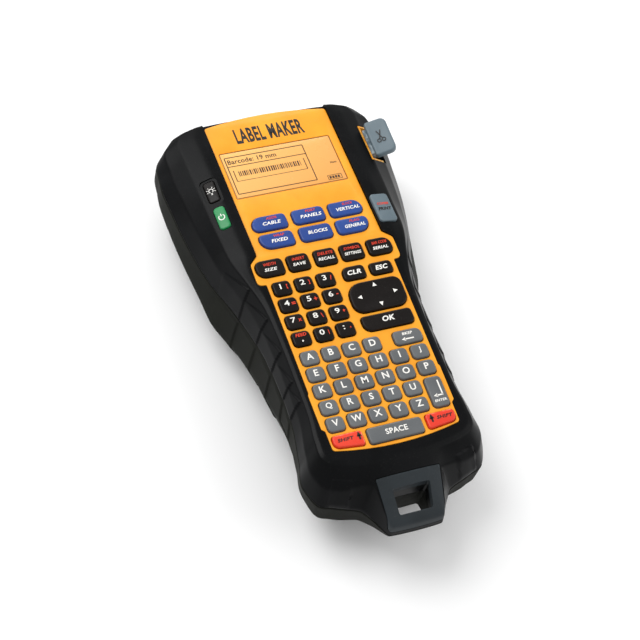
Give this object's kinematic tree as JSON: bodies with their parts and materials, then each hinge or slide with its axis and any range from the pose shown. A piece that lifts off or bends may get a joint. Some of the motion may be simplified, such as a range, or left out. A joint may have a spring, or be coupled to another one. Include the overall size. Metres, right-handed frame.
{
  "type": "label maker",
  "caption": "Handheld label maker: waisted two-shell case, sloped display, full keypad, side cutter lever, tape cassette and battery doors at the back, strap loop.",
  "frame": {"origin": "under the middle of the outer box, on the plane that the back lies on", "axes": "+X to the side with the cutter lever, +Y from the strap loop to the head, +Z out of the keypad"},
  "size_m": [0.1254, 0.2348, 0.0542],
  "materials": {
    "case_black": "fine satin",
    "plate_yellow": "smooth",
    "hot_blue": "smooth",
    "key_black": "smooth",
    "key_grey": "fine satin",
    "key_red": "smooth",
    "power_green": "smooth",
    "lever_grey": "fine satin",
    "loop_grey": "fine satin",
    "window_amber": "clear",
    "steel": "brushed",
    "brass": "machined",
    "board_green": "solder mask",
    "rubber": "matte",
    "white_plastic": "moulded",
    "cell_grey": "moulded"
  },
  "bodies": {
    "case": {"front_case": "case_black", "rear_case": "case_black", "faceplate": "plate_yellow", "display_window": "window_amber", "display_glass": "window_amber", "display_frame": "steel", "key_mat": "rubber", "main_board": "board_green", "strap_loop": "loop_grey", "cutter_guide": "plate_yellow", "cutter_spring": "steel", "cutter_anvil": "steel", "tape_chassis": "white_plastic", "tape_cassette": "key_grey", "motor": "steel", "battery_pack": "cell_grey", "power_jack": "key_black", "case_screw_1": "steel", "case_screw_2": "steel", "case_screw_3": "steel", "case_screw_4": "steel"},
    "platen": {"platen_roller": "rubber", "platen_gear": "white_plastic"},
    "carriage": {"cutter_carriage": "white_plastic", "cutter_blade": "steel"},
    "hot_key_row_1": {"hot_key_row_1": "hot_blue"},
    "hot_key_row_2": {"hot_key_row_2": "hot_blue"},
    "function_key_row": {"function_key_row": "key_black"},
    "clear_key": {"clear_key": "key_black"},
    "escape_key": {"escape_key": "key_black"},
    "arrow_pad": {"arrow_pad": "key_black"},
    "ok_key": {"ok_key": "key_black"},
    "number_row_1": {"number_row_1": "key_black"},
    "number_row_2": {"number_row_2": "key_black"},
    "number_row_3": {"number_row_3": "key_black"},
    "number_row_4": {"number_row_4": "key_black"},
    "letter_row_1": {"letter_row_1": "key_grey"},
    "letter_row_2": {"letter_row_2": "key_grey"},
    "letter_row_3": {"letter_row_3": "key_grey"},
    "letter_row_4": {"letter_row_4": "key_grey"},
    "letter_row_5": {"letter_row_5": "key_grey"},
    "backspace_key": {"backspace_key": "key_grey"},
    "enter_key": {"enter_key": "key_grey"},
    "space_key": {"space_key": "key_grey"},
    "left_shift_key": {"left_shift_key": "key_red"},
    "right_shift_key": {"right_shift_key": "key_red"},
    "backlight_button": {"backlight_button": "key_black"},
    "power_button": {"power_button": "power_green"},
    "print_button": {"print_button": "lever_grey"},
    "cutter_lever": {"cutter_lever": "lever_grey"},
    "cassette_door": {"cassette_door": "case_black"},
    "battery_door": {"battery_door": "case_black"},
    "label_spool": {"label_spool": "white_plastic"},
    "ribbon_spool": {"ribbon_spool": "key_black"},
    "take_up_spool": {"take_up_spool": "key_black"},
    "idler_gear": {"idler_gear": "white_plastic"},
    "motor_pinion": {"motor_pinion": "brass"},
    "print_head": {"print_head": "steel"}
  },
  "joints": [
    {"name": "hot_key_row_1_press", "type": "slide", "parent": "case", "child": "hot_key_row_1", "axis": [0, -0.0663, -0.9978], "range_m": [0, 0.001], "stiffness_N_per_m": 400},
    {"name": "hot_key_row_2_press", "type": "slide", "parent": "case", "child": "hot_key_row_2", "axis": [0, -0.0663, -0.9978], "range_m": [0, 0.001], "stiffness_N_per_m": 400},
    {"name": "function_key_row_press", "type": "slide", "parent": "case", "child": "function_key_row", "axis": [0, 0, -1], "range_m": [0, 0.001], "stiffness_N_per_m": 400},
    {"name": "clear_key_press", "type": "slide", "parent": "case", "child": "clear_key", "axis": [0, 0, -1], "range_m": [0, 0.001], "stiffness_N_per_m": 400},
    {"name": "escape_key_press", "type": "slide", "parent": "case", "child": "escape_key", "axis": [0, 0, -1], "range_m": [0, 0.001], "stiffness_N_per_m": 400},
    {"name": "arrow_pad_press", "type": "slide", "parent": "case", "child": "arrow_pad", "axis": [0, 0, -1], "range_m": [0, 0.001], "stiffness_N_per_m": 400},
    {"name": "ok_key_press", "type": "slide", "parent": "case", "child": "ok_key", "axis": [0, 0, -1], "range_m": [0, 0.001], "stiffness_N_per_m": 400},
    {"name": "number_row_1_press", "type": "slide", "parent": "case", "child": "number_row_1", "axis": [0, 0, -1], "range_m": [0, 0.001], "stiffness_N_per_m": 400},
    {"name": "number_row_2_press", "type": "slide", "parent": "case", "child": "number_row_2", "axis": [0, 0, -1], "range_m": [0, 0.001], "stiffness_N_per_m": 400},
    {"name": "number_row_3_press", "type": "slide", "parent": "case", "child": "number_row_3", "axis": [0, 0, -1], "range_m": [0, 0.001], "stiffness_N_per_m": 400},
    {"name": "number_row_4_press", "type": "slide", "parent": "case", "child": "number_row_4", "axis": [0, 0, -1], "range_m": [0, 0.001], "stiffness_N_per_m": 400},
    {"name": "letter_row_1_press", "type": "slide", "parent": "case", "child": "letter_row_1", "axis": [0, 0, -1], "range_m": [0, 0.001], "stiffness_N_per_m": 400},
    {"name": "letter_row_2_press", "type": "slide", "parent": "case", "child": "letter_row_2", "axis": [0, 0, -1], "range_m": [0, 0.001], "stiffness_N_per_m": 400},
    {"name": "letter_row_3_press", "type": "slide", "parent": "case", "child": "letter_row_3", "axis": [0, 0, -1], "range_m": [0, 0.001], "stiffness_N_per_m": 400},
    {"name": "letter_row_4_press", "type": "slide", "parent": "case", "child": "letter_row_4", "axis": [0, 0, -1], "range_m": [0, 0.001], "stiffness_N_per_m": 400},
    {"name": "letter_row_5_press", "type": "slide", "parent": "case", "child": "letter_row_5", "axis": [0, 0, -1], "range_m": [0, 0.001], "stiffness_N_per_m": 400},
    {"name": "backspace_key_press", "type": "slide", "parent": "case", "child": "backspace_key", "axis": [0, 0, -1], "range_m": [0, 0.001], "stiffness_N_per_m": 400},
    {"name": "enter_key_press", "type": "slide", "parent": "case", "child": "enter_key", "axis": [0, 0, -1], "range_m": [0, 0.001], "stiffness_N_per_m": 400},
    {"name": "space_key_press", "type": "slide", "parent": "case", "child": "space_key", "axis": [0, 0, -1], "range_m": [0, 0.001], "stiffness_N_per_m": 400},
    {"name": "left_shift_key_press", "type": "slide", "parent": "case", "child": "left_shift_key", "axis": [0, 0, -1], "range_m": [0, 0.001], "stiffness_N_per_m": 400},
    {"name": "right_shift_key_press", "type": "slide", "parent": "case", "child": "right_shift_key", "axis": [0, 0, -1], "range_m": [0, 0.001], "stiffness_N_per_m": 400},
    {"name": "backlight_button_press", "type": "slide", "parent": "case", "child": "backlight_button", "axis": [0.3907, -0.061, -0.9185], "range_m": [0, 0.001], "stiffness_N_per_m": 400},
    {"name": "power_button_press", "type": "slide", "parent": "case", "child": "power_button", "axis": [0.3907, -0.061, -0.9185], "range_m": [0, 0.001], "stiffness_N_per_m": 400},
    {"name": "print_button_press", "type": "slide", "parent": "case", "child": "print_button", "axis": [-0.1737, -0.0653, -0.9826], "range_m": [0, 0.001], "stiffness_N_per_m": 400},
    {"name": "cutter_lever_press", "type": "hinge", "parent": "case", "child": "cutter_lever", "pos_m": [0.0466, 0.08895, 0.039], "axis": [0, 1, 0], "range_deg": [0, 15], "stiffness_Nm_per_rad": 0.5},
    {"name": "cutter_carriage_slide", "type": "slide", "parent": "case", "child": "carriage", "axis": [-1, 0, 0], "range_m": [0, 0.0043], "deforming": ["cutter_spring"]},
    {"name": "print_head_open", "type": "slide", "parent": "case", "child": "print_head", "axis": [1, 0, 0], "range_m": [0, 0.0015], "stiffness_N_per_m": 300},
    {"name": "platen_spin", "type": "hinge", "parent": "case", "child": "platen", "pos_m": [0.0198, 0.10295, 0.022], "axis": [0, 0, 1], "continuous": true},
    {"name": "idler_spin", "type": "hinge", "parent": "case", "child": "idler_gear", "pos_m": [0.0046, 0.10295, 0.037], "axis": [0, 0, 1], "continuous": true},
    {"name": "motor_spin", "type": "hinge", "parent": "case", "child": "motor_pinion", "pos_m": [-0.0082, 0.10295, 0.037], "axis": [0, 0, 1], "continuous": true},
    {"name": "label_spool_spin", "type": "hinge", "parent": "case", "child": "label_spool", "pos_m": [-0.013, 0.06395, 0.019], "axis": [0, 0, 1], "continuous": true},
    {"name": "ribbon_spool_spin", "type": "hinge", "parent": "case", "child": "ribbon_spool", "pos_m": [0.022, 0.05495, 0.019], "axis": [0, 0, 1], "continuous": true},
    {"name": "take_up_spin", "type": "hinge", "parent": "case", "child": "take_up_spool", "pos_m": [0.022, 0.07795, 0.019], "axis": [0, 0, 1], "continuous": true},
    {"name": "cassette_door_swing", "type": "hinge", "parent": "case", "child": "cassette_door", "pos_m": [0, 0.09575, 0.0012], "axis": [1, 0, 0], "range_deg": [0, 105]},
    {"name": "battery_door_swing", "type": "hinge", "parent": "case", "child": "battery_door", "pos_m": [0, 0.02695, 0.0012], "axis": [1, 0, 0], "range_deg": [0, 105]}
  ],
  "couplings": [
    {"joint": "cutter_carriage_slide", "follows": "cutter_lever_press", "m_per_rad": 0.0157},
    {"joint": "idler_spin", "follows": "platen_spin", "ratio": -0.9},
    {"joint": "motor_spin", "follows": "platen_spin", "ratio": 1.5}
  ]
}
